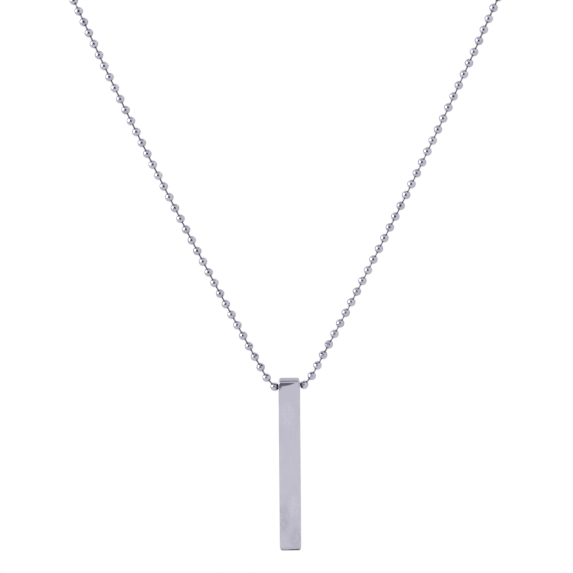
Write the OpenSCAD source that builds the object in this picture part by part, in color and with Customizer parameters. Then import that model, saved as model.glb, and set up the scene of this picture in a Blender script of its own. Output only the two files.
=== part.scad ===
// Bar pendant: a polished square bar on a ball chain, which passes through a bore near the bar's top.
// The necklace is whole. The chain hangs in a V in front, then turns back round the neck
// to a connector at the nape.
// X runs to the right, the front faces -Y and Z is up. The origin is the nape, where the necklace is held.

/* [Bar] */
// Length of the bar
bar_length = 40; // [25:1:60]
// Width of the bar, side to side
bar_width = 5; // [4.6:0.1:7]
// Depth of the bar, front to back
bar_depth = 5; // [4.6:0.1:7]
// How far the bar's ends draw in at their rounded edges
end_inset = 0.5; // [0.3:0.1:0.8]
// Length over which the ends draw in
end_length = 1.2; // [0.8:0.1:1.6]
// Rounding of the bar's long edges
edge_radius = 0.2; // [0.1:0.05:0.3]
// From the bar's top to the axis of its bore
bore_drop = 1.8; // [1.8:0.1:3]
// Bore for the chain
bore_d = 2.5; // [2.4:0.05:2.8]

/* [Chain] */
// Ball of the chain
ball_d = 2; // [1.8:0.05:2.05]
// From one ball's centre to the next
ball_pitch = 2.785; // [2.75:0.005:2.95]
// Hole at both ends of a ball
ball_hole_d = 0.8; // [0.7:0.05:0.9]
// Wire of the links between the balls
wire_d = 0.4; // [0.3:0.05:0.45]
// Balls on each side, from the one beside the bar to the one in the connector
balls_a_side = 89; // [80:1:96]

/* [Hang] */
// Chain's lean from vertical just above the bar
lean_low = 28.7; // [24:0.1:34]
// Chain's lean from vertical where the turn round the neck begins
lean_high = 24.5; // [20:0.1:30]
// Links that hang straight before the turn round the neck is complete
front_links = 33; // [28:1:38]
// Lean of the first link beside the bar
exit_lean = 37; // [34:1:46]
// How much higher the chain lies on the right of the bar than on the left
hang_tilt = 0.34; // [0:0.02:0.4]

/* [Connector] */
// Outer diameter of the connector
connector_d = 3; // [2.9:0.1:3.4]

/* [Hidden] */
$fn = 32;
BALL_SIDES = 48;
CONNECTOR_SIDES = 64;

// How far a cut reaches past what it cuts.
PAST = 1;

// Broken edge at both mouths of the bore.
MOUTH_EDGE = 0.1;

// The chain lies this far above the bore's axis, because the bar hangs on it.
CHAIN_RISE = 0.13;
// Balls inside the bore stand this far from the bar's middle. The ones outside would just clear its faces.
INNER_X = 1.17;
EXIT_GAP = 0.05;
EXIT_X = bar_width / 2 + ball_d / 2 + EXIT_GAP;
// The tilt of the chain beside the bar fades away over this many links.
FADE_LINKS = 24;
// The balls beside the bar sit a little higher and further in than the others lead one to expect.
LEFT_SEAT = [0.15, 0, 0.08];
RIGHT_SEAT = [-0.1, 0, 0.16];

// Seats of the end balls in the connector, from its middle, with half of the gap between the two balls.
HALF_GAP = 0.4;
SEAT_X = ball_d / 2 + HALF_GAP;

// The connector's end walls, and the room that a ball has in front of them and all round.
END_WALL = 0.4;
END_ROOM = 0.15;
BALL_ROOM = 0.1;
CONNECTOR_LENGTH = 2 * (SEAT_X + ball_d / 2 + END_ROOM + END_WALL);
CONNECTOR_CHAMFER = 0.45;
CONNECTOR_MOUTH = ball_hole_d / 2 + 0.1;
SLOT_WIDTH = 0.8;

// Sides of the wire, and of its rings where it passes through the middle of each ball.
WIRE_SIDES = 6;

function unit(v) = v / norm(v);

// Direction of link i of one side, when the turn round the neck starts at link `start`.
// Its heading turns from straight outwards to straight inwards, a little faster at first.
// In front it climbs so that its lean, seen from the front, is the one given. Further on the climb dies away.
TURN_EASE = 0.8;
function lean(i) =
    i == 0 ? exit_lean :
    lean_low + (lean_high - lean_low) * min(1, (i - 1) / (front_links - 2));
function heading(i, start) = 180 * pow(max(0, (i + 0.5 - start) / (balls_a_side - 1 - start)), TURN_EASE);
function front_climb(i, start) = atan(cos(heading(i, start)) / tan(lean(i)));
function climb(i, start) =
    i < front_links ? front_climb(i, start) :
    front_climb(front_links, start) * (balls_a_side - 1.5 - i) / (balls_a_side - 1 - front_links);
function link_step(i, start) = ball_pitch * [
    cos(climb(i, start)) * cos(heading(i, start)),
    cos(climb(i, start)) * sin(heading(i, start)),
    sin(climb(i, start))
];

// Centres of one side's balls from link i onwards, and the place that they end at.
function walk(at, i, start) =
    i == balls_a_side - 1 ? [at] :
    concat([at], walk(at + link_step(i, start), i + 1, start));
FIRST_BALL = [EXIT_X, 0, CHAIN_RISE];
function side_balls(start) = walk(FIRST_BALL, 0, start);
function last_x(start) = side_balls(start)[balls_a_side - 1][0];

// The start of the turn for which the last ball sits in its seat in the connector.
function solve_start(low, high, tries) =
    let (middle = (low + high) / 2)
    tries == 0 ? middle :
    last_x(middle) > SEAT_X ? solve_start(low, middle, tries - 1) : solve_start(middle, high, tries - 1);
TURN_START = solve_start(2, 60, 30);
RIGHT = side_balls(TURN_START);
NAPE = RIGHT[balls_a_side - 1];

// Moves everything so that the nape is the origin. The bore's middle is then at BORE.
BORE = [0, -NAPE[1], -NAPE[2]];

// A ball of one side, with the tilt beside the bar added.
function seat(i, side) = i > 0 ? [0, 0, 0] : side > 0 ? RIGHT_SEAT : LEFT_SEAT;
function side_point(i, side) = BORE + seat(i, side) + [
    side * RIGHT[i][0],
    RIGHT[i][1],
    RIGHT[i][2] + side * hang_tilt / 2 * max(0, 1 - i / FADE_LINKS)
];
function inner_point(side) = BORE + [
    side * INNER_X,
    0,
    CHAIN_RISE + side * hang_tilt / 2 * INNER_X / EXIT_X
];

// The whole chain in order, from the left end ball at the nape through the bore to the right end ball.
CHAIN = concat(
    [for (i = [balls_a_side - 1:-1:0]) side_point(i, -1)],
    [inner_point(-1), inner_point(1)],
    [for (i = [0:balls_a_side - 1]) side_point(i, 1)]
);
LAST = len(CHAIN) - 1;

// Turns children that point up the Z axis to point along v, and moves them to a place.
module along(at, v) {
    translate(at) rotate([0, acos(v[2] / norm(v)), atan2(v[1], v[0])]) children();
}

// A square with rounded corners, centred.
module rounded(size, r) {
    square([size[0] - 2 * r, size[1]], center = true);
    square([size[0], size[1] - 2 * r], center = true);
    for (sx = [-1, 1], sy = [-1, 1])
        translate([sx * (size[0] / 2 - r), sy * (size[1] / 2 - r)]) circle(r = r);
}

// One rounded corner of the bar's outline, from its side to its end. It leaves the side gently,
// as polishing does, so that it is a curve between an ellipse and a square corner.
CORNER_STEPS = 10;
CORNER_POWER = 2.2;
function corner(half_width) = [
    for (k = [0:CORNER_STEPS])
        let (a = 90 * k / CORNER_STEPS)
        [
            half_width - end_inset + end_inset * pow(cos(a), 2 / CORNER_POWER),
            bar_length / 2 - end_length + end_length * pow(sin(a), 2 / CORNER_POWER)
        ]
];
function mirrored(points, sx, sy) = [for (p = points) [sx * p[0], sy * p[1]]];
function backwards(points) = [for (k = [len(points) - 1:-1:0]) points[k]];

// The bar's outline as seen square on to one of its long faces.
module outline(width) {
    c = corner(width / 2);
    polygon(concat(c, backwards(mirrored(c, -1, 1)), mirrored(c, -1, -1), backwards(mirrored(c, 1, -1))));
}

// The bar's blank, centred on its own middle.
module bar_blank() {
    intersection() {
        linear_extrude(bar_length, center = true) rounded([bar_width, bar_depth], edge_radius);
        rotate([90, 0, 0]) linear_extrude(bar_depth, center = true) outline(bar_width);
        rotate([90, 0, 90]) linear_extrude(bar_width, center = true) outline(bar_depth);
    }
}

module bar() {
    color("silver")
        difference() {
            translate(BORE + [0, 0, bore_drop - bar_length / 2]) bar_blank();
            translate(BORE) rotate([0, 90, 0]) cylinder(d = bore_d, h = bar_width + 2 * PAST, center = true);
            // A cone at each mouth breaks the bore's edge. It starts inside the face and ends as far outside.
            for (side = [-1, 1])
                translate(BORE + [side * (bar_width / 2 - MOUTH_EDGE), 0, 0])
                    rotate([0, side * 90, 0])
                        cylinder(d1 = bore_d, d2 = bore_d + 4 * MOUTH_EDGE, h = 2 * MOUTH_EDGE);
        }
}

// Half of a ball's section, with the hole along the Y axis of the drawing.
module ball_section() {
    difference() {
        circle(d = ball_d, $fn = BALL_SIDES);
        translate([-ball_d, -ball_d]) square([ball_d + ball_hole_d / 2, 2 * ball_d]);
    }
}

// A ball whose straight hole points along v.
module straight_ball(at, v) {
    along(at, v) rotate_extrude($fn = BALL_SIDES) ball_section();
}

// A ball whose two holes meet at an angle in a small hollow in its middle.
// Each hole starts inside the hollow.
HOLLOW_D = 1.3 * ball_hole_d;
HOLE_START = 0.3 * HOLLOW_D;
module bent_ball(at, before, after) {
    difference() {
        translate(at) rotate([0, 0, 90]) sphere(d = ball_d, $fn = BALL_SIDES);
        translate(at) rotate([0, 0, 90]) sphere(d = HOLLOW_D, $fn = BALL_SIDES);
        for (v = [before, after])
            along(at + HOLE_START * unit(v), v)
                rotate([0, 0, 90]) cylinder(d = ball_hole_d, h = ball_d, $fn = BALL_SIDES);
    }
}

// Where the chain bends by more than this, a straight hole would no longer hold both links.
STRAIGHT_LIMIT = 10;

module chain_balls() {
    color("gainsboro")
        for (k = [0:LAST]) {
            before = k == 0 ? CHAIN[0] - CHAIN[1] : CHAIN[k - 1] - CHAIN[k];
            after = k == LAST ? CHAIN[LAST] - CHAIN[LAST - 1] : CHAIN[k + 1] - CHAIN[k];
            bend = acos(min(1, -before * after / norm(before) / norm(after)));
            if (bend > STRAIGHT_LIMIT)
                bent_ball(CHAIN[k], before, after);
            else
                straight_ball(CHAIN[k], unit(after) - unit(before));
        }
}

// The wire runs through every ball as one thread. Its ring at a ball faces halfway between the two links.
function ring_normal(k) =
    k == 0 ? unit(CHAIN[1] - CHAIN[0]) :
    k == LAST ? unit(CHAIN[LAST] - CHAIN[LAST - 1]) :
    unit(unit(CHAIN[k + 1] - CHAIN[k]) + unit(CHAIN[k] - CHAIN[k - 1]));
// The chain never runs straight along this direction, so it can give the rings their roll.
ROLL = unit([0.05, 1, -0.75]);
function ring(k) =
    let (n = ring_normal(k), u = unit(cross(ROLL, n)), w = cross(n, u))
    [for (s = [0:WIRE_SIDES - 1])
        let (a = 360 * s / WIRE_SIDES)
        CHAIN[k] + wire_d / 2 * (cos(a) * u + sin(a) * w)];

module chain_links() {
    points = [for (k = [0:LAST]) each ring(k)];
    walls = [for (k = [0:LAST - 1], s = [0:WIRE_SIDES - 1])
        let (a = k * WIRE_SIDES + s, b = k * WIRE_SIDES + (s + 1) % WIRE_SIDES)
        [a, a + WIRE_SIDES, b + WIRE_SIDES, b]];
    ends = [
        [for (s = [0:WIRE_SIDES - 1]) s],
        [for (s = [WIRE_SIDES - 1:-1:0]) LAST * WIRE_SIDES + s]
    ];
    color("gray") polyhedron(points, concat(walls, ends), convexity = 20);
}

// Half of the connector's section: a sleeve round both end balls, with mouths too narrow for a ball.
module connector_section() {
    difference() {
        translate([0, -CONNECTOR_LENGTH / 2])
            polygon([
                [CONNECTOR_MOUTH, 0],
                [connector_d / 2 - CONNECTOR_CHAMFER, 0],
                [connector_d / 2, CONNECTOR_CHAMFER],
                [connector_d / 2, CONNECTOR_LENGTH - CONNECTOR_CHAMFER],
                [connector_d / 2 - CONNECTOR_CHAMFER, CONNECTOR_LENGTH],
                [CONNECTOR_MOUTH, CONNECTOR_LENGTH]
            ]);
        translate([0, END_WALL - CONNECTOR_LENGTH / 2])
            square([ball_d / 2 + BALL_ROOM, CONNECTOR_LENGTH - 2 * END_WALL]);
    }
}

module connector() {
    color("darkgray")
        difference() {
            rotate([0, 90, 0]) rotate_extrude($fn = CONNECTOR_SIDES) connector_section();
            // Slot along the underside, through which the links drop in
            translate([-CONNECTOR_LENGTH / 2 - PAST, -SLOT_WIDTH / 2, -connector_d])
                cube([CONNECTOR_LENGTH + 2 * PAST, SLOT_WIDTH, connector_d]);
        }
}

bar();
chain_balls();
chain_links();
connector();
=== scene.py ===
"""Looks of a bar pendant: a polished square bar on a ball chain, which passes through a bore near its top.

Lengths are in millimetres until a mesh is made, and then in metres. X runs to the right, the front
faces -Y and Z is up. The origin is the nape, where the necklace is held.
"""
import math

import bmesh
import bpy
from mathutils import Matrix, Vector

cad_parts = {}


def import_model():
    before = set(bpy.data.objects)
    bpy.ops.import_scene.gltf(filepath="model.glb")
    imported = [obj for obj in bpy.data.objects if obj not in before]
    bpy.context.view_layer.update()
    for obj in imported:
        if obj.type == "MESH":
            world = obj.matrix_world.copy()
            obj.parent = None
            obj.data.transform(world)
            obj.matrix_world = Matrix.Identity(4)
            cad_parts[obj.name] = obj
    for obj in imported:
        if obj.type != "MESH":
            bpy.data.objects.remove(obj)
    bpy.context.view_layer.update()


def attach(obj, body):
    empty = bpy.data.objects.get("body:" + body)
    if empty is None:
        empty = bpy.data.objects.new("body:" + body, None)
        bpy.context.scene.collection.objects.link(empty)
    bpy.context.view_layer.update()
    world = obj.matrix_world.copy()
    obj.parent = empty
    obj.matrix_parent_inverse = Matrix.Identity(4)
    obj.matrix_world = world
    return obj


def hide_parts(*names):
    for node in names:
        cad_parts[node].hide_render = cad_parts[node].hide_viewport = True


MM = 0.001

# Bar. Its ends draw in by the inset over the end's length, and its faces are crowned in the middle.
BAR_LENGTH = 40.0
BAR_WIDTH = 5.0
BAR_DEPTH = 5.0
END_INSET = 0.5
END_LENGTH = 1.2
CORNER_POWER = 2.2
EDGE_RADIUS = 0.2
FACE_CROWN = 0.03

# Bore, whose axis lies this far below the bar's top
BORE_DROP = 1.8
BORE_D = 2.5

# Chain
BALL_D = 2.0
BALL_PITCH = 2.785
WIRE_D = 0.4
BALLS_A_SIDE = 89

# The balls inside the bore, beside the bar and in the connector, all from the bar's middle plane.
# The chain lies above the bore's axis, because the bar hangs on it.
CHAIN_RISE = 0.13
INNER_X = 1.17
EXIT_GAP = 0.05
EXIT_X = BAR_WIDTH / 2 + BALL_D / 2 + EXIT_GAP
HALF_GAP = 0.4
SEAT_X = BALL_D / 2 + HALF_GAP

# Hang of the chain
LEAN_LOW = 28.7
LEAN_HIGH = 24.5
FRONT_LINKS = 33
EXIT_LEAN = 37.0
HANG_TILT = 0.34
FADE_LINKS = 24
TURN_EASE = 0.8
# The balls beside the bar sit a little higher and further in than the others lead one to expect.
LEFT_SEAT = (0.15, 0, 0.08)
RIGHT_SEAT = (-0.10, 0, 0.16)

# Connector
CONNECTOR_D = 3.0
END_WALL_AND_ROOM = 0.55
CONNECTOR_LENGTH = 2 * (SEAT_X + BALL_D / 2 + END_WALL_AND_ROOM)

# Camera, fitted to the photograph. Its view is square.
VIEW_DISTANCE = 650.0
VIEW_ELEVATION = 7.0
VIEW_ROLL = -0.466
VIEW_LENS = 177.2
VIEW_X = -0.45
VIEW_ABOVE_BORE = 23.40


# The chain's path

def lean(i):
    """Lean from vertical of link i of one side, as seen from the front, in degrees."""
    if i == 0:
        return EXIT_LEAN
    return LEAN_LOW + (LEAN_HIGH - LEAN_LOW) * min(1, (i - 1) / (FRONT_LINKS - 2))


def heading(i, start):
    """Which way link i heads round the neck, from 0 straight outwards to 180 straight inwards."""
    share = (i + 0.5 - start) / (BALLS_A_SIDE - 1 - start)
    return 180 * max(0.0, share) ** TURN_EASE


def front_climb(i, start):
    """How steeply link i climbs in front, in degrees, for its lean to be right as seen from the front."""
    outward = math.cos(math.radians(heading(i, start)))
    return math.degrees(math.atan(outward / math.tan(math.radians(lean(i)))))


def climb(i, start):
    """How steeply link i climbs, in degrees. Behind the front of the neck the climb dies away."""
    if i < FRONT_LINKS:
        return front_climb(i, start)
    left = (BALLS_A_SIDE - 1.5 - i) / (BALLS_A_SIDE - 1 - FRONT_LINKS)
    return front_climb(FRONT_LINKS, start) * left


def link_step(i, start):
    """The way from one ball's centre to the next."""
    up = math.radians(climb(i, start))
    round_neck = math.radians(heading(i, start))
    level = math.cos(up)
    return BALL_PITCH * Vector((level * math.cos(round_neck), level * math.sin(round_neck), math.sin(up)))


def side_balls(start):
    """Centres of the balls of the right side, from the one beside the bar to the one in the connector."""
    at = Vector((EXIT_X, 0, CHAIN_RISE))
    places = [at.copy()]
    for i in range(BALLS_A_SIDE - 1):
        at = at + link_step(i, start)
        places.append(at.copy())
    return places


def solve_start():
    """The link at which the turn round the neck starts, so that the last ball sits in its seat."""
    low = 2.0
    high = 60.0
    for _ in range(30):
        middle = (low + high) / 2
        if side_balls(middle)[-1].x > SEAT_X:
            high = middle
        else:
            low = middle
    return (low + high) / 2


RIGHT = side_balls(solve_start())
BORE = Vector((0, -RIGHT[-1].y, -RIGHT[-1].z))


def side_point(i, side):
    """A ball of one side. Beside the bar the chain lies a little higher on the right than on the left."""
    tilt = HANG_TILT / 2 * max(0.0, 1 - i / FADE_LINKS)
    place = BORE + Vector((side * RIGHT[i].x, RIGHT[i].y, RIGHT[i].z + side * tilt))
    if i == 0:
        place += Vector(RIGHT_SEAT if side > 0 else LEFT_SEAT)
    return place


def inner_point(side):
    """A ball inside the bore."""
    rise = CHAIN_RISE + side * HANG_TILT / 2 * INNER_X / EXIT_X
    return BORE + Vector((side * INNER_X, 0, rise))


def chain_centres():
    """All the balls' centres, from the left end ball at the nape through the bore to the right end ball."""
    left = [side_point(i, -1) for i in reversed(range(BALLS_A_SIDE))]
    right = [side_point(i, 1) for i in range(BALLS_A_SIDE)]
    return left + [inner_point(-1), inner_point(1)] + right


# Mesh helpers

def spread(k, step=0.618034):
    """A number from 0 to 1 that looks random but is the same each time. It moves on by a step for each k."""
    wobble = 0.37 * math.sin(k * 12.9898)
    return (k * step + wobble) % 1.0


def turn_faces_outward(mesh):
    """Makes all the faces look away from the inside of the piece."""
    shape = bmesh.new()
    shape.from_mesh(mesh)
    bmesh.ops.recalc_face_normals(shape, faces=shape.faces)
    shape.to_mesh(mesh)
    shape.free()


def shade_smooth(mesh):
    """Lets the light run smoothly over the edges between faces."""
    mesh.polygons.foreach_set("use_smooth", [True] * len(mesh.polygons))


def add_attribute(mesh, key, values):
    """Gives each point a number or a vector that the material can read."""
    if isinstance(values[0], (int, float)):
        layer = mesh.attributes.new(key, "FLOAT", "POINT")
        layer.data.foreach_set("value", values)
    else:
        layer = mesh.attributes.new(key, "FLOAT_VECTOR", "POINT")
        layer.data.foreach_set("vector", [number for value in values for number in value])


def make_object(name, points, faces, attributes=None):
    """A smooth mesh object. Points are in millimetres, and attributes hold one value for each point."""
    mesh = bpy.data.meshes.new(name)
    mesh.from_pydata([tuple(p * MM for p in point) for point in points], [], faces)
    turn_faces_outward(mesh)
    for key, values in (attributes or {}).items():
        add_attribute(mesh, key, values)
    shade_smooth(mesh)
    mesh.update()
    piece = bpy.data.objects.new(name, mesh)
    bpy.context.scene.collection.objects.link(piece)
    return piece


def ring_faces(rings, sides, first=0, endless=False):
    """Faces between rings of points that follow each other. An endless loft ends where it began."""
    faces = []
    count = rings if endless else rings - 1
    for k in range(count):
        here = first + k * sides
        after = first + ((k + 1) % rings) * sides
        for s in range(sides):
            t = (s + 1) % sides
            faces.append((here + s, here + t, after + t, after + s))
    return faces


def loft_faces(rings, sides, first=0):
    """Faces between rings of points, with a flat face on the first and the last ring."""
    last = first + (rings - 1) * sides
    faces = ring_faces(rings, sides, first)
    faces.append(tuple(reversed(range(first, first + sides))))
    faces.append(tuple(range(last, last + sides)))
    return faces


# Bar

def end_inset(below_end):
    """How far the bar's sides draw in at a distance below its end."""
    along = max(0.0, 1 - below_end / END_LENGTH)
    return END_INSET * (1 - (1 - along ** CORNER_POWER) ** (1 / CORNER_POWER))


def bar_levels():
    """Heights above the bar's middle at which its outline is drawn, close together at its ends."""
    end_steps = 16
    spacing = 3.5
    near_end = []
    for k in range(end_steps + 1):
        angle = math.radians(90 * k / end_steps)
        along = math.sin(angle) ** (2 / CORNER_POWER)
        near_end.append(BAR_LENGTH / 2 - END_LENGTH + END_LENGTH * along)
    straight = [k * spacing for k in range(-5, 6)]
    return [-z for z in reversed(near_end)] + straight + near_end


def bar_outline(half_width, half_depth, radius):
    """One level of the bar: a square with small round corners and very slightly crowned sides."""
    corner_steps = 8
    side_steps = 12
    flat_x = half_width - FACE_CROWN
    flat_y = half_depth - FACE_CROWN
    points = []
    for corner in range(4):
        sx = (1, -1, -1, 1)[corner]
        sy = (1, 1, -1, -1)[corner]
        for k in range(corner_steps + 1):
            angle = math.radians(90 * corner + 90 * k / corner_steps)
            x = sx * (flat_x - radius) + radius * math.cos(angle)
            y = sy * (flat_y - radius) + radius * math.sin(angle)
            points.append((x, y))
        for k in range(1, side_steps):
            across = 1 - 2 * k / side_steps
            crown = FACE_CROWN * (1 - across ** 2)
            if corner % 2 == 0:
                points.append((sx * across * (flat_x - radius), sy * (flat_y + crown)))
            else:
                points.append((sx * (flat_x + crown), sy * across * (flat_y - radius)))
    return points


def make_bar_blank(name, middle):
    """The bar without its bore. Its long edges are rounder where its ends draw in."""
    edge_growth = 0.3
    levels = bar_levels()
    points = []
    for z in levels:
        inset = end_inset(BAR_LENGTH / 2 - abs(z))
        radius = EDGE_RADIUS + edge_growth * inset
        for x, y in bar_outline(BAR_WIDTH / 2 - inset, BAR_DEPTH / 2 - inset, radius):
            points.append((middle.x + x, middle.y + y, middle.z + z))
    sides = len(points) // len(levels)
    return make_object(name, points, loft_faces(len(levels), sides))


def make_bore_cutter():
    """The bore's space. It widens smoothly at both mouths and goes on a little past the bar's sides."""
    sides = 72
    mouth = 0.16
    mouth_steps = 6
    past_side = 0.3
    past_mouth = 0.6
    half = BAR_WIDTH / 2
    profile = [(half + past_side, BORE_D / 2 + mouth + past_mouth)]
    for k in range(mouth_steps + 1):
        share = 1 - k / mouth_steps
        profile.append((half - mouth + mouth * share, BORE_D / 2 + mouth * share ** 2))
    profile = profile + [(-x, r) for x, r in reversed(profile)]
    points = []
    for x, r in profile:
        for s in range(sides):
            angle = 2 * math.pi * s / sides
            points.append((BORE.x + x, BORE.y + r * math.cos(angle), BORE.z + r * math.sin(angle)))
    return make_object("bore_cutter", points, loft_faces(len(profile), sides))


def cut_bore(bar):
    """Cuts the bore, so that the bar's mesh has it without a modifier."""
    cutter = make_bore_cutter()
    cut = bar.modifiers.new("bore", "BOOLEAN")
    cut.operation = "DIFFERENCE"
    cut.solver = "EXACT"
    cut.object = cutter
    whole = bpy.data.meshes.new_from_object(bar.evaluated_get(bpy.context.evaluated_depsgraph_get()))
    bar.modifiers.clear()
    bar.data = whole
    bpy.data.objects.remove(cutter)


def make_bar(name):
    """A solid square bar with a bore from side to side. Its place attribute starts at its middle."""
    sharp_edge = 35
    middle = BORE + Vector((0, 0, BORE_DROP - BAR_LENGTH / 2))
    bar = make_bar_blank(name, middle)
    cut_bore(bar)
    shade_smooth(bar.data)
    bar.data.set_sharp_from_angle(angle=math.radians(sharp_edge))
    add_attribute(bar.data, "place", [tuple(v.co / MM - middle) for v in bar.data.vertices])
    normals = bar.modifiers.new("flat_faces_stay_flat", "WEIGHTED_NORMAL")
    normals.keep_sharp = True
    normals.weight = 50
    return bar


# Balls

# Sheet of a ball, its hole, and the lip that turns in at the hole.
SHEET = 0.18
HOLE_R = 0.34
LIP_R = 0.30
LIP_ROUNDING = 0.08

# Seam of a ball's sheet: its reach to each side in degrees, its depth, and in radians its turn
# from ball to ball.
SEAM_REACH = 3.0
SEAM_DEPTH = 0.022
SEAM_TURN = 0.55
SEAM_SCATTER = 1.3

# The chain never runs straight along this direction, so it can give the pieces their roll.
ROLL = Vector((0.05, 1, -0.75))
# Under this bend the two links of a ball count as one straight line.
STRAIGHT = 1e-4

# Each ball or link lies this far on in the material's patterns, and a ball also by its shade,
# so that no two match.
PATTERN_STEP = 3
SHADE_STEP = 5


def ball_profile():
    """A hollow ball's section, outside and back inside: distance from its axis, height and rim mask."""
    outside_rings = 13
    inside_rings = 4
    inside_mouth = 30
    fading = (0.75, 0.25, 0.0)
    outer = BALL_D / 2
    inner = outer - SHEET
    mouth = math.degrees(math.asin((HOLE_R + LIP_ROUNDING) / outer))
    outside = []
    for k in range(outside_rings):
        polar = math.radians(mouth + (180 - 2 * mouth) * k / (outside_rings - 1))
        from_mouth = min(k, outside_rings - 1 - k)
        rim = fading[min(from_mouth, 2)]
        outside.append((outer * math.sin(polar), outer * math.cos(polar), rim))
    # Each pair is a radius of the lip and how far it lies below the edge of the mouth.
    edge = math.cos(math.radians(mouth)) * outer
    turned_in = [(HOLE_R + 0.02, 0.005), (LIP_R, 0.05), (LIP_R + 0.01, 0.13)]
    lip = [(r, edge - below, 1.0) for r, below in turned_in]
    far_lip = [(r, -z, rim) for r, z, rim in lip]
    inside = []
    for k in range(inside_rings):
        polar = math.radians(inside_mouth + (180 - 2 * inside_mouth) * k / (inside_rings - 1))
        inside.append((inner * math.sin(polar), -inner * math.cos(polar), 1.0))
    return outside + far_lip + inside + list(reversed(lip))


def ball_meridians():
    """Angle and seam mask of each of a ball's meridians. Three lie close together at its seam."""
    plain = 19
    meridians = [(-SEAM_REACH, 0.35), (0.0, 1.0), (SEAM_REACH, 0.35)]
    for k in range(plain):
        meridians.append((SEAM_REACH + (360 - 2 * SEAM_REACH) * (k + 1) / (plain + 1), 0.0))
    return [(math.radians(angle), seam) for angle, seam in meridians]


def ball_frame(before, after):
    """Axes of a ball between two links: across, the way that its holes lean, along, and half the bend."""
    along = (after - before).normalized()
    leaning = after + before
    if leaning.length < STRAIGHT:
        leaning = ROLL
    leaning = (leaning - leaning.dot(along) * along).normalized()
    across = leaning.cross(along)
    return across, leaning, along, after.angle(along)


def make_balls(name, centres):
    """All the balls, as one piece. Both halves of each lean towards the links that go in there."""
    profile = ball_profile()
    meridians = ball_meridians()
    points = []
    faces = []
    attributes = {"place": [], "rim": [], "seam": [], "shade": []}
    for k, centre in enumerate(centres):
        before = (centres[k - 1] - centre) if k > 0 else (centre - centres[1])
        after = (centres[k + 1] - centre) if k < len(centres) - 1 else (centre - centres[-2])
        across, leaning, along, bend = ball_frame(before.normalized(), after.normalized())
        seam_at = SEAM_TURN * k + SEAM_SCATTER * spread(k)
        shade = spread(k, step=0.414214)
        faces += ring_faces(len(profile), len(meridians), first=len(points), endless=True)
        for r, z, rim in profile:
            toward_hole = z / math.hypot(r, z)
            ease = 1.5 - 0.5 * toward_hole ** 2
            tip = bend * toward_hole * ease
            for angle, seam in meridians:
                pressed = r - (SEAM_DEPTH * seam if rim < 1 else 0.0)
                x = pressed * math.cos(angle + seam_at)
                y = pressed * math.sin(angle + seam_at)
                leaned = y * math.cos(tip) + z * math.sin(tip)
                raised = z * math.cos(tip) - y * math.sin(tip)
                points.append(tuple(centre + x * across + leaned * leaning + raised * along))
                attributes["place"].append((x + SHADE_STEP * shade, y + PATTERN_STEP * k, z))
                attributes["rim"].append(rim)
                attributes["seam"].append(seam)
                attributes["shade"].append(shade)
    return make_object(name, points, faces, attributes)


# Links

def link_profile(length):
    """A link's rounded heads and its wire: distance along it from the first ball's centre, and radius."""
    head_at = 0.40
    head_r = 0.36
    past_head = 0.05
    past_ball = 0.04
    wire_r = WIRE_D / 2
    half = []
    for angle in (155, 120, 90, 60, 38):
        a = math.radians(angle)
        half.append((head_at + head_r * math.cos(a), head_r * math.sin(a)))
    # The wire was drawn a little thinner towards its heads.
    half.append((head_at + head_r + past_head, wire_r * 0.93))
    half.append((BALL_D / 2 + past_ball, wire_r * 0.96))
    half.append((length / 2, wire_r))
    return half + [(length - s, r) for s, r in reversed(half[:-1])]


def make_links(name, centres):
    """All the links, as one piece. The outside mask is 1 halfway along a link and 0 inside the balls."""
    sides = 12
    hidden_length = 0.9
    points = []
    faces = []
    attributes = {"place": [], "outside": []}
    for k in range(len(centres) - 1):
        step = centres[k + 1] - centres[k]
        halfway = step.length / 2
        along = step.normalized()
        across = ROLL.cross(along).normalized()
        upright = along.cross(across)
        profile = link_profile(step.length)
        faces += loft_faces(len(profile), sides, first=len(points))
        for s, r in profile:
            for side in range(sides):
                angle = 2 * math.pi * side / sides
                outward = math.cos(angle) * across + math.sin(angle) * upright
                points.append(tuple(centres[k] + s * along + r * outward))
                attributes["place"].append((r * math.cos(angle) + PATTERN_STEP * k, r * math.sin(angle), s))
                attributes["outside"].append(max(0.0, 1 - abs(s - halfway) / (halfway - hidden_length)))
    return make_object(name, points, faces, attributes)


# Connector

# Mouths at both ends of the sleeve, its waist between the two balls, and half the width of its slot.
MOUTH_R = 0.62
WAIST_DEPTH = 0.1
WAIST_REACH = 0.9
HALF_SLOT = 0.4


def connector_radius(x):
    """Outer radius of the sleeve at a distance from its middle: a waist, and ends that are drawn in."""
    outer = CONNECTOR_D / 2
    if abs(x) > SEAT_X:
        past_seat = (abs(x) - SEAT_X) / (CONNECTOR_LENGTH / 2 - SEAT_X)
        drawn_in = (outer - MOUTH_R) * (1 - math.sqrt(max(0.0, 1 - past_seat ** 3)))
    else:
        drawn_in = WAIST_DEPTH * (0.5 + 0.5 * math.cos(math.pi * min(1, abs(x) / WAIST_REACH)))
    return outer - drawn_in


def connector_profile():
    """The sleeve's section, outside and back inside: distance from its middle, and radius."""
    sheet = 0.28
    lip = 0.12
    steps = 32
    half = CONNECTOR_LENGTH / 2
    outside = []
    for k in range(steps + 1):
        x = half * math.sin(math.radians(-90 + 180 * k / steps))
        outside.append((x, connector_radius(x)))
    inside = [(x * (half - sheet) / half, max(r - sheet, MOUTH_R - lip)) for x, r in reversed(outside)]
    return outside + inside


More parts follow.
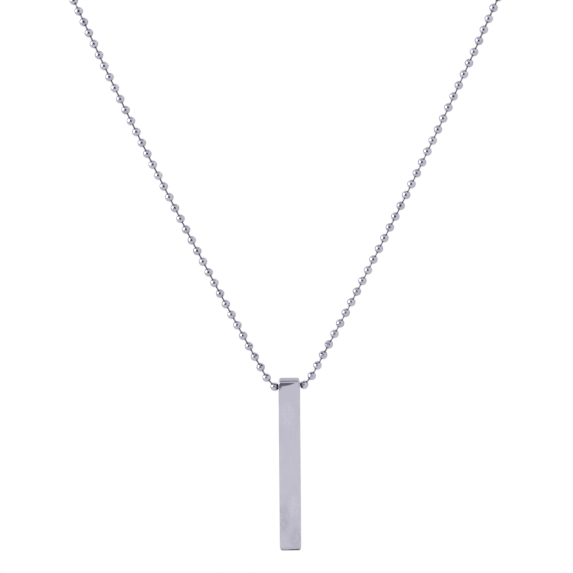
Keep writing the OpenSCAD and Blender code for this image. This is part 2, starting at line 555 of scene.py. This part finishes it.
def make_connector(name):
    """A sleeve of sheet, rolled round both end balls and open along its underside."""
    steps = 48
    slot = math.asin(HALF_SLOT / (CONNECTOR_D / 2))
    profile = connector_profile()
    points = []
    places = []
    for k in range(steps + 1):
        share = k / steps
        angle = -math.pi / 2 + slot + (2 * math.pi - 2 * slot) * share
        for x, r in profile:
            points.append((x, r * math.cos(angle), r * math.sin(angle)))
            places.append((x, r * angle, r))
    faces = [tuple(reversed(face)) for face in loft_faces(steps + 1, len(profile))]
    piece = make_object(name, points, faces, {"place": places})
    soften = piece.modifiers.new("rolled_slot_edges", "BEVEL")
    soften.width = 0.05 * MM
    soften.segments = 2
    soften.use_clamp_overlap = False
    soften.limit_method = "ANGLE"
    soften.angle_limit = math.radians(50)
    return piece


# Shader helpers

WHITE = (1.0, 1.0, 1.0, 1.0)


class Nodes:
    """Adds nodes to a tree, and links them as it goes."""

    def __init__(self, tree):
        self.tree = tree

    def add(self, kind, inputs=None, **settings):
        node = self.tree.nodes.new(kind)
        for key, value in settings.items():
            setattr(node, key, value)
        for key, value in (inputs or {}).items():
            self.put(node.inputs[key], value)
        return node

    def put(self, socket, value):
        if isinstance(value, bpy.types.NodeSocket):
            self.tree.links.new(value, socket)
        else:
            socket.default_value = value

    def math(self, operation, a, b=0.0):
        return self.add("ShaderNodeMath", {0: a, 1: b}, operation=operation).outputs[0]

    def vector(self, operation, a, b):
        return self.add("ShaderNodeVectorMath", {0: a, 1: b}, operation=operation).outputs["Vector"]

    def remap(self, value, low, high, to_low=0.0, to_high=1.0):
        limits = {"From Min": low, "From Max": high, "To Min": to_low, "To Max": to_high}
        node = self.add("ShaderNodeMapRange", {"Value": value, **limits}, interpolation_type="SMOOTHSTEP")
        return node.outputs["Result"]

    def attribute(self, name, output="Fac"):
        return self.add("ShaderNodeAttribute", attribute_name=name).outputs[output]

    def stretch(self, vector, scale, rotation=(0.0, 0.0, 0.0)):
        node = self.add("ShaderNodeMapping", {"Vector": vector, "Scale": scale, "Rotation": rotation})
        return node.outputs["Vector"]

    def noise(self, vector, scale, detail=2.0, roughness=0.5):
        values = {"Vector": vector, "Scale": scale, "Detail": detail, "Roughness": roughness}
        return self.add("ShaderNodeTexNoise", values).outputs["Fac"]

    def blend(self, share, first, second):
        # Of a mix node's sockets, these are the share, the two colours and the colour that comes out.
        return self.add("ShaderNodeMix", {0: share, 6: first, 7: second}, data_type="RGBA").outputs[2]

    def tint(self, colour, mask, strength, other):
        """A colour that turns towards another where a mask says so, at most by the strength."""
        return self.blend(self.math("MULTIPLY", mask, strength), colour, other)


def new_group(name, inputs, outputs):
    """An empty node group. Inputs are listed as name, kind and first value, and outputs as name and kind."""
    group = bpy.data.node_groups.new(name, "ShaderNodeTree")
    for socket, kind, value in inputs:
        made = group.interface.new_socket(socket, in_out="INPUT", socket_type=kind)
        if value is not None:
            made.default_value = value
    for socket, kind in outputs:
        group.interface.new_socket(socket, in_out="OUTPUT", socket_type=kind)
    nodes = Nodes(group)
    entry = nodes.add("NodeGroupInput")
    leave = nodes.add("NodeGroupOutput")
    return group, nodes, entry.outputs, leave.inputs


def make_fine_scratches():
    """Hairlines in three directions, as bright metal gets from wear. Lines puts out 1 on a line."""
    group, n, given, result = new_group(
        "fine_scratches",
        [("Place", "NodeSocketVector", None), ("Fineness", "NodeSocketFloat", 1.0)],
        [("Lines", "NodeSocketFloat")],
    )
    hairline = (9.0, 9.0, 0.25)
    scaled = n.add("ShaderNodeVectorMath", {0: given["Place"], "Scale": given["Fineness"]}, operation="SCALE")
    place = scaled.outputs["Vector"]
    lines = []
    for turn, offset in ((0.35, 0.0), (-0.6, 7.3), (1.25, 3.1)):
        moved = n.vector("ADD", place, (offset, offset, offset))
        long_grain = n.stretch(moved, hairline, rotation=(turn, turn * 0.7, turn))
        lines.append(n.remap(n.noise(long_grain, scale=1.0, detail=1.0), 0.66, 0.74))
    both = n.math("MAXIMUM", lines[0], lines[1])
    n.put(result["Lines"], n.math("MAXIMUM", both, lines[2]))
    return group


def make_handling():
    """Soft patches where bright metal was touched or wiped. Patches puts out 0 to 1."""
    group, n, given, result = new_group(
        "handling",
        [("Place", "NodeSocketVector", None), ("Size", "NodeSocketFloat", 1.0)],
        [("Patches", "NodeSocketFloat")],
    )
    near = n.vector("DIVIDE", given["Place"], given["Size"])
    wide = n.noise(n.stretch(near, (1.0, 1.0, 0.45)), scale=0.5, detail=3.0, roughness=0.55)
    close = n.noise(near, scale=2.3, detail=2.0, roughness=0.6)
    mixed = n.math("ADD", n.math("MULTIPLY", wide, 0.7), n.math("MULTIPLY", close, 0.3))
    n.put(result["Patches"], n.remap(mixed, 0.35, 0.68))
    return group


def make_grain():
    """Fine lines along one direction, left by drawing, rolling or polishing. Height puts out 0 to 1."""
    group, n, given, result = new_group(
        "grain",
        [("Place", "NodeSocketVector", None), ("Stretch", "NodeSocketVector", (6.0, 6.0, 0.2))],
        [("Height", "NodeSocketFloat")],
    )
    long_grain = n.vector("MULTIPLY", given["Place"], given["Stretch"])
    coarse = n.noise(long_grain, scale=1.0, detail=3.0, roughness=0.6)
    fine = n.noise(long_grain, scale=3.7, detail=2.0, roughness=0.6)
    n.put(result["Height"], n.math("ADD", n.math("MULTIPLY", coarse, 0.6), n.math("MULTIPLY", fine, 0.4)))
    return group


GROUPS = {"scratches": make_fine_scratches(), "handling": make_handling(), "grain": make_grain()}


def empty_material(name):
    """A material without nodes, and the helper that adds them."""
    material = bpy.data.materials.new(name)
    material.use_nodes = True
    material.node_tree.nodes.clear()
    return material, Nodes(material.node_tree)


def start_metal(name):
    """A metal material with its shader and output."""
    material, n = empty_material(name)
    shader = n.add("ShaderNodeBsdfPrincipled")
    shader.inputs["Metallic"].default_value = 1.0
    leave = n.add("ShaderNodeOutputMaterial")
    n.put(leave.inputs["Surface"], shader.outputs["BSDF"])
    return material, n, shader


def place_group(n, key, inputs):
    """Puts a shared effect into a material."""
    node = n.add("ShaderNodeGroup", node_tree=GROUPS[key])
    for socket, value in inputs.items():
        n.put(node.inputs[socket], value)
    return node.outputs[0]


def relief(n, raised, share, lines):
    """Height of a surface: a share of its grain, with its scratches sunk in."""
    return n.math("SUBTRACT", n.math("MULTIPLY", raised, share), n.math("MULTIPLY", lines, 0.5))


def bump(n, height, strength, distance):
    """Normals for a surface's height, which is in units of a distance in millimetres."""
    values = {"Height": height, "Strength": strength, "Distance": distance * MM}
    return n.add("ShaderNodeBump", values).outputs["Normal"]


# Steel of the bar

BAR_CLEAN = (0.557, 0.537, 0.637, 1.0)
BAR_WIPED = (0.590, 0.570, 0.665, 1.0)
# The next two colours are painted darker and lighter reflections on the bar's front.
BAR_DARK_REFLECTION = (0.478, 0.458, 0.546, 1.0)
BAR_LIGHT_REFLECTION = (0.625, 0.607, 0.692, 1.0)
BAR_LINES = (0.47, 0.455, 0.53, 1.0)
# Painted highlight along the long edges
BAR_EDGE_HIGHLIGHT = (0.72, 0.70, 0.77, 1.0)
# Rub marks round the bore's mouths, darkened as painted shade where the balls meet the bar
BAR_RUB_AND_SHADE = (0.28, 0.27, 0.31, 1.0)
# Painted shade inside the bore
BAR_BORE_SHADE = (0.36, 0.35, 0.40, 1.0)

# Painted darker and lighter reflections on the bar's front: sideways and up from its middle, and how far each
# reaches.
DARK_REFLECTION_SPOTS = ((-1.6, -12.4, 1.9, 5.0), (1.3, -16.9, 2.2, 3.4))
LIGHT_REFLECTION_SPOTS = ((0.9, -9.4, 1.9, 3.6), (-0.4, 12.0, 2.2, 4.5))
SPOT_DEPTH = 1.5

# Distances between which a mark sets in: wear and painted highlight from the long edges, the drilled wall
# and the rubbed ring, both with painted shade, from the bore's edge, and the ring's nearness to the bar's
# sides.
EDGE_WEAR_AND_HIGHLIGHT_FADE = (0.55, 0.12)
WALL_FADE = (0.08, 0.01)
RING_FADE = (0.85, 0.05)
SIDE_FADE = (0.14, 0.06)


def spot(n, place, x, z, reach_x, reach_z):
    """1 in the middle of a spot on the bar's front, fading to 0 at its reach."""
    away = n.vector("SUBTRACT", place, (x, -BAR_DEPTH / 2, z))
    near = n.vector("DIVIDE", away, (reach_x, SPOT_DEPTH, reach_z))
    distance = n.add("ShaderNodeVectorMath", {0: near}, operation="LENGTH").outputs["Value"]
    return n.remap(distance, 1.0, 0.35)


def either_spot(n, place, spots):
    """1 in the middle of either of two spots on the bar's front."""
    return n.math("MAXIMUM", spot(n, place, *spots[0]), spot(n, place, *spots[1]))


def edge_wear_and_highlight(n, far_x, far_y, broken):
    """Mask of the bar's long edges, here and there, for their wear and for a painted highlight along them."""
    far, near = EDGE_WEAR_AND_HIGHLIGHT_FADE
    at_edge = n.remap(n.math("ADD", far_x, far_y), BAR_WIDTH - far, BAR_WIDTH - near)
    return n.math("MULTIPLY", at_edge, n.remap(broken, 0.38, 0.62))


def bore_marks(n, far_x, far_y, height, broken):
    """Masks of the bore's drilled wall and of the rubbed ring round its mouths, both also carrying painted
    shade.
    """
    above_axis = n.math("SUBTRACT", height, BAR_LENGTH / 2 - BORE_DROP)
    squares = n.math("ADD", n.math("MULTIPLY", far_y, far_y), n.math("MULTIPLY", above_axis, above_axis))
    from_axis = n.math("SQRT", squares)
    drilled_and_shaded = n.remap(from_axis, BORE_D / 2 + WALL_FADE[0], BORE_D / 2 + WALL_FADE[1])
    ring = n.remap(from_axis, BORE_D / 2 + RING_FADE[0], BORE_D / 2 + RING_FADE[1])
    uneven = n.math("MULTIPLY", ring, n.remap(broken, 0.25, 0.55, to_low=0.5))
    on_sides = n.remap(far_x, BAR_WIDTH / 2 - SIDE_FADE[0], BAR_WIDTH / 2 - SIDE_FADE[1])
    return drilled_and_shaded, n.math("MULTIPLY", uneven, on_sides)


def make_bar_steel():
    """Polished solid steel, with hairlines, wiped patches, worn edges with a painted highlight, painted
    reflections on the front and painted shade at the bore.
    """
    material, n, shader = start_metal("bar_steel_polished")
    place = n.attribute("place", "Vector")
    lines = place_group(n, "scratches", {"Place": place, "Fineness": 0.8})
    patches = place_group(n, "handling", {"Place": place, "Size": 3.0})
    grain = place_group(n, "grain", {"Place": place, "Stretch": (5.0, 5.0, 0.12)})
    parts = n.add("ShaderNodeSeparateXYZ", {"Vector": place}).outputs
    far_x = n.math("ABSOLUTE", parts["X"])
    far_y = n.math("ABSOLUTE", parts["Y"])
    broken = n.noise(n.stretch(place, (1.0, 1.0, 0.35)), scale=1.6, detail=3.0, roughness=0.6)
    mottle = n.remap(n.noise(place, scale=1.7, detail=3.0, roughness=0.6), 0.22, 0.72)
    wear_and_highlight = edge_wear_and_highlight(n, far_x, far_y, broken)
    drilled_and_shaded, rub_and_shade = bore_marks(n, far_x, far_y, parts["Z"], broken)

    colour = n.blend(patches, BAR_CLEAN, BAR_WIPED)
    # Painted darker and lighter reflections on the bar's front
    colour = n.blend(n.math("MULTIPLY", either_spot(n, place, DARK_REFLECTION_SPOTS), mottle), colour, BAR_DARK_REFLECTION)
    colour = n.blend(n.math("MULTIPLY", either_spot(n, place, LIGHT_REFLECTION_SPOTS), mottle), colour, BAR_LIGHT_REFLECTION)
    colour = n.tint(colour, lines, 0.35, BAR_LINES)
    # Painted highlight along the long edges
    colour = n.tint(colour, wear_and_highlight, 0.5, BAR_EDGE_HIGHLIGHT)
    # Rub marks round the bore's mouths, with painted shade where the balls meet the bar
    colour = n.tint(colour, rub_and_shade, 0.7, BAR_RUB_AND_SHADE)
    # Painted shade inside the bore, whose drilled wall is also rougher
    n.put(shader.inputs["Base Color"], n.blend(drilled_and_shaded, colour, BAR_BORE_SHADE))

    polished = n.math("ADD", n.remap(patches, 0.0, 1.0, 0.03, 0.075), n.math("MULTIPLY", grain, 0.02))
    rubbed = n.math("MAXIMUM", drilled_and_shaded, n.math("MULTIPLY", rub_and_shade, 0.6))
    rougher = n.math("ADD", polished, n.math("MULTIPLY", rubbed, 0.30))
    n.put(shader.inputs["Roughness"], n.math("ADD", rougher, n.math("MULTIPLY", wear_and_highlight, 0.05)))
    n.put(shader.inputs["Normal"], bump(n, relief(n, grain, 0.25, lines), strength=0.12, distance=0.006))
    return material


# Steel of the balls

BALL_DARKER = (0.514, 0.493, 0.598, 1.0)
BALL_LIGHTER = (0.613, 0.590, 0.698, 1.0)
BALL_WIPED = (0.655, 0.635, 0.73, 1.0)
BALL_LINES = (0.40, 0.385, 0.45, 1.0)
# Dark soil, and painted shade in the balls' holes and seam
BALL_SOIL_AND_SHADE = (0.10, 0.095, 0.115, 1.0)


def make_ball_steel():
    """Tumbled steel sheet. Each ball has its own shade, and its holes and seam hold a little dark soil with
    painted shade.
    """
    material, n, shader = start_metal("ball_steel_tumbled")
    place = n.attribute("place", "Vector")
    lines = place_group(n, "scratches", {"Place": place, "Fineness": 1.6})
    patches = place_group(n, "handling", {"Place": place, "Size": 0.9})
    speckle = n.noise(place, scale=7.0, detail=3.0, roughness=0.65)
    hollows = n.math("MAXIMUM", n.attribute("rim"), n.math("MULTIPLY", n.attribute("seam"), 0.7))
    # Soil and painted shade at the holes and the seam
    soil_and_shade = n.math("MULTIPLY", hollows, n.remap(speckle, 0.30, 0.62, to_low=0.55))

    colour = n.blend(n.attribute("shade"), BALL_DARKER, BALL_LIGHTER)
    colour = n.tint(colour, patches, 0.4, BALL_WIPED)
    colour = n.tint(colour, lines, 0.4, BALL_LINES)
    n.put(shader.inputs["Base Color"], n.tint(colour, soil_and_shade, 0.85, BALL_SOIL_AND_SHADE))

    tumbled = n.remap(patches, 0.0, 1.0, 0.10, 0.17)
    n.put(shader.inputs["Roughness"], n.math("ADD", tumbled, n.math("MULTIPLY", soil_and_shade, 0.25)))
    n.put(shader.inputs["Normal"], bump(n, relief(n, speckle, 0.5, lines), strength=0.15, distance=0.01))
    return material


# Steel of the links

LINK_DARKER = (0.27, 0.26, 0.315, 1.0)
LINK_LIGHTER = (0.40, 0.385, 0.455, 1.0)
LINK_WIPED = (0.45, 0.438, 0.505, 1.0)
# Painted shade on the wire where it runs into the balls
LINK_HOLE_SHADE = (0.09, 0.085, 0.105, 1.0)


def make_link_steel():
    """Drawn wire, with lines along it, and painted shade towards the holes, where it runs into the balls."""
    material, n, shader = start_metal("link_steel_drawn")
    place = n.attribute("place", "Vector")
    grain = place_group(n, "grain", {"Place": place, "Stretch": (14.0, 14.0, 0.8)})
    patches = place_group(n, "handling", {"Place": place, "Size": 0.5})
    colour = n.tint(n.blend(grain, LINK_DARKER, LINK_LIGHTER), patches, 0.35, LINK_WIPED)
    # Painted shade towards the holes
    n.put(shader.inputs["Base Color"], n.blend(n.attribute("outside"), LINK_HOLE_SHADE, colour))
    n.put(shader.inputs["Roughness"], n.remap(grain, 0.3, 0.7, 0.20, 0.34))
    n.put(shader.inputs["Normal"], bump(n, grain, strength=0.3, distance=0.012))
    return material


# Steel of the connector

SLEEVE_CLEAN = (0.52, 0.505, 0.58, 1.0)
SLEEVE_WIPED = (0.60, 0.585, 0.66, 1.0)
SLEEVE_LINES = (0.38, 0.37, 0.43, 1.0)


def make_connector_steel():
    """Bright rolled sheet, with rolling lines round it and scuffs where it is opened and closed."""
    material, n, shader = start_metal("connector_steel_sheet")
    place = n.attribute("place", "Vector")
    lines = place_group(n, "scratches", {"Place": place, "Fineness": 1.1})
    patches = place_group(n, "handling", {"Place": place, "Size": 1.2})
    grain = place_group(n, "grain", {"Place": place, "Stretch": (9.0, 0.3, 9.0)})
    colour = n.blend(patches, SLEEVE_CLEAN, SLEEVE_WIPED)
    n.put(shader.inputs["Base Color"], n.tint(colour, lines, 0.5, SLEEVE_LINES))
    n.put(shader.inputs["Roughness"], n.remap(grain, 0.3, 0.7, 0.14, 0.26))
    n.put(shader.inputs["Normal"], bump(n, relief(n, grain, 0.5, lines), strength=0.25, distance=0.012))
    return material


def give(piece, material):
    """Makes the material the only one of the piece."""
    piece.data.materials.clear()
    piece.data.materials.append(material)


# Studio

# The light aims at a point this far below the bore.
AIM_DROP = 8
MIDDLE = Vector((0, BORE.y, BORE.z - AIM_DROP)) * MM


def direction(azimuth, elevation):
    """From the pendant towards a light or the camera. Azimuth 0 is the front, and it grows to the right."""
    a = math.radians(azimuth)
    e = math.radians(elevation)
    return Vector((math.sin(a) * math.cos(e), -math.cos(a) * math.cos(e), math.sin(e)))


def facing(back, roll=0.0):
    """The turn of a camera or light whose back looks along a direction away from the pendant."""
    right = Vector((-back.y, back.x, 0)).normalized()
    up = back.cross(right)
    c = math.cos(math.radians(roll))
    s = math.sin(math.radians(roll))
    return Matrix((c * right + s * up, c * up - s * right, back)).transposed().to_4x4()


def add_camera():
    """A camera in front of the pendant and a little above it, as the photograph was taken."""
    data = bpy.data.cameras.new("camera")
    data.lens = VIEW_LENS
    data.sensor_width = 36.0
    data.clip_start = 0.01
    data.clip_end = 60.0
    camera = bpy.data.objects.new("camera", data)
    bpy.context.scene.collection.objects.link(camera)
    back = direction(0, VIEW_ELEVATION)
    target = Vector((VIEW_X, BORE.y, BORE.z + VIEW_ABOVE_BORE)) * MM
    camera.matrix_world = Matrix.Translation(target + VIEW_DISTANCE * MM * back) @ facing(back, VIEW_ROLL)
    bpy.context.scene.camera = camera


def add_softbox(name, azimuth, elevation, distance, width, height, radiance):
    """A soft rectangular light, in metres. Its power is worked out from how bright its face is to look."""
    data = bpy.data.lights.new(name, "AREA")
    data.shape = "RECTANGLE"
    data.size = width
    data.size_y = height
    data.energy = radiance * math.pi * width * height
    light = bpy.data.objects.new(name, data)
    bpy.context.scene.collection.objects.link(light)
    back = direction(azimuth, elevation)
    light.matrix_world = Matrix.Translation(MIDDLE + distance * back) @ facing(back)
    light.visible_camera = False


def glow_material(name):
    """A surface that gives off white light: its material, its nodes and the socket of its strength."""
    material, n = empty_material(name)
    glow = n.add("ShaderNodeEmission", {"Color": WHITE})
    leave = n.add("ShaderNodeOutputMaterial")
    n.put(leave.inputs["Surface"], glow.outputs["Emission"])
    return material, n, glow.inputs["Strength"]


def floor_material():
    """Pale. To the camera it is as white as the photograph's ground, and to the steel a little greyer."""
    material, n, strength = glow_material("floor_pale")
    path = n.add("ShaderNodeLightPath")
    n.put(strength, n.remap(path.outputs["Is Camera Ray"], 0.0, 1.0, 0.84, 1.0))
    return material


def make_flat(name, corners, material):
    """One flat face for the studio, with its corners in metres."""
    mesh = bpy.data.meshes.new(name)
    mesh.from_pydata(corners, [], [tuple(range(len(corners)))])
    mesh.materials.append(material)
    flat = bpy.data.objects.new(name, mesh)
    bpy.context.scene.collection.objects.link(flat)
    return flat


def add_floor():
    """A wide pale floor below the pendant, which hangs above it."""
    half = 8.0
    gap = 30
    corners = [(-half, -half, 0), (half, -half, 0), (half, half, 0), (-half, half, 0)]
    floor = make_flat("floor", corners, floor_material())
    floor.location = Vector((0, BORE.y, BORE.z + BORE_DROP - BAR_LENGTH - gap)) * MM


def add_card(name, corners, brightness):
    """A flat card for polished faces to reflect. Its corners are in millimetres from the bore's middle."""
    material, n, strength = glow_material(name + "_surface")
    n.put(strength, brightness)
    places = [tuple((BORE + Vector(corner)) * MM) for corner in corners]
    card = make_flat(name, places, material)
    card.visible_camera = False
    card.visible_diffuse = False
    card.visible_shadow = False


def upright(outline, y):
    """Corners of a card that stands in front of the bar, from its outline sideways and up."""
    return [(x, y, z) for x, z in outline]


def level(outline, z):
    """Corners of a card that lies over or under the bar, from its outline sideways and back."""
    return [(x, y, z) for x, y in outline]


def rectangle(left, right, low, high):
    """The outline of a plain card."""
    return [(left, low), (right, low), (right, high), (left, high)]


def add_cards():
    """What the polished steel reflects from near by, all of it hidden from the camera."""
    # A large dark card round the camera's place, which every ball shows in its middle
    add_card("camera_shade", upright(rectangle(-305, 155, -80, 395), y=-450), brightness=0.04)
    # A white card for the bar's face, cut away along a slope at its upper left. The grey card behind it
    # shows through the cut, as the dark wedge on the face.
    edges = [(-10, -60), (10, -60), (10, 27)]
    slope = [(4, 27), (1.4, 2.4), (-0.6, -5.2), (-1.2, -6.6), (-2.2, -8.1), (-10, -11.3)]
    add_card("face_card", upright(edges + slope, y=-62), brightness=0.93)
    add_card("wedge_shade", upright(rectangle(-10, 5, -16, 27), y=-64), brightness=0.21)
    # A white strip above the bar's front, and dark cards over and under the bar, which draw the lines
    # along its end edges
    add_card("edge_card", upright(rectangle(-7, 7, 11, 26), y=-27), brightness=0.85)
    top_shade = [(-6.5, -10.2), (-0.9, -9.8), (0.1, -8.4), (6.5, -8.2), (6.5, 0.0), (-6.5, 0.0)]
    add_card("top_shade", level(top_shade, z=12), brightness=0.10)
    under_shade = [(-3.2, -4.3), (-0.9, -4.3), (0.2, -5.1), (3.2, -5.5), (3.2, -3.0), (-3.2, -3.0)]
    add_card("under_shade", level(under_shade, z=-41), brightness=0.04)


def add_world():
    """A pale room, grey low down behind the pendant and at its ceiling. The camera itself sees only white."""
    low_wall = (0.59, 0.585, 0.625, 1.0)
    front_wall = (0.92, 0.92, 0.94, 1.0)
    grey_ceiling = (0.62, 0.62, 0.65, 1.0)
    world = bpy.data.worlds.new("studio")
    bpy.context.scene.world = world
    world.use_nodes = True
    world.node_tree.nodes.clear()
    n = Nodes(world.node_tree)
    way = n.add("ShaderNodeTexCoord").outputs["Generated"]
    parts = n.add("ShaderNodeSeparateXYZ", {"Vector": way}).outputs
    behind = n.remap(parts["Y"], -0.25, 0.35)
    ceiling = n.remap(parts["Z"], 0.72, 0.90)
    backdrop = n.blend(n.remap(parts["Z"], 0.12, 0.42), low_wall, WHITE)
    walls = n.blend(behind, front_wall, backdrop)
    room = n.blend(ceiling, walls, grey_ceiling)
    path = n.add("ShaderNodeLightPath")
    seen = n.blend(path.outputs["Is Camera Ray"], room, WHITE)
    glow = n.add("ShaderNodeBackground", {"Color": seen, "Strength": 1.0})
    leave = n.add("ShaderNodeOutputWorld")
    n.put(leave.inputs["Surface"], glow.outputs["Background"])


def add_studio():
    """Everything round the pendant, and how its brightness is shown."""
    add_floor()
    add_world()
    add_cards()
    add_softbox("key", azimuth=-72, elevation=20, distance=0.60, width=0.30, height=0.34, radiance=6.0)
    settings = bpy.context.scene.view_settings
    settings.view_transform = "Standard"
    settings.look = "None"
    settings.exposure = 0.0
    settings.gamma = 1.0


def main():
    """The studio, and then the four pieces, each of which takes the place of one node."""
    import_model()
    add_camera()
    add_studio()
    centres = chain_centres()

    bar = make_bar("bar_polished")
    give(bar, make_bar_steel())
    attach(bar, "bar")
    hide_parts("bar")

    balls = make_balls("chain_balls_rolled", centres)
    give(balls, make_ball_steel())
    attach(balls, "chain")
    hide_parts("chain_balls")

    links = make_links("chain_links_headed", centres)
    give(links, make_link_steel())
    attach(links, "chain")
    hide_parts("chain_links")

    connector = make_connector("connector_sleeve")
    give(connector, make_connector_steel())
    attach(connector, "chain")
    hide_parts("connector")


main()
